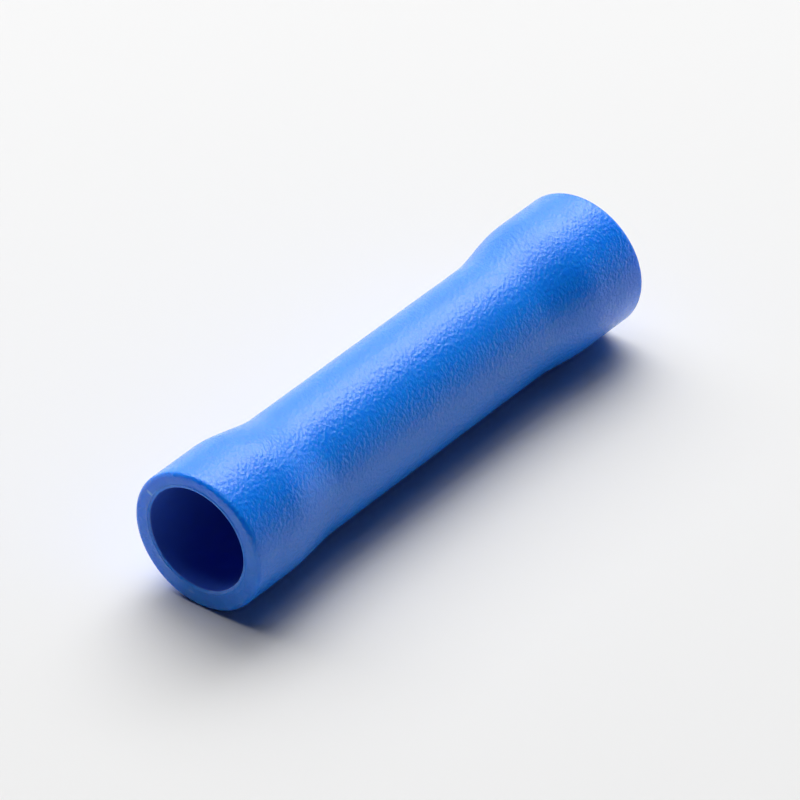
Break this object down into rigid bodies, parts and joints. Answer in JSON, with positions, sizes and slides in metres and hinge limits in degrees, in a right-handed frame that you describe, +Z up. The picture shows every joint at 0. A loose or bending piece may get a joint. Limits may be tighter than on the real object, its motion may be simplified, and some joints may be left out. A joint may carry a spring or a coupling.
{
  "type": "butt splice connector",
  "caption": "Insulated butt splice: a tinned crimp barrel with a wire stop, held in a soft blue plastic sleeve that opens into a funnel at both ends.",
  "frame": {"origin": "on the table, under the middle of the tube", "axes": "+X along the tube from one mouth to the other, +Z up, out of the table that the connector lies on"},
  "size_m": [0.025, 0.0062, 0.006],
  "materials": {
    "blue_plastic": "satin",
    "tinned_copper": "satin"
  },
  "bodies": {
    "root": {"insulating_sleeve": "blue_plastic", "crimp_barrel": "tinned_copper"}
  },
  "joints": []
}
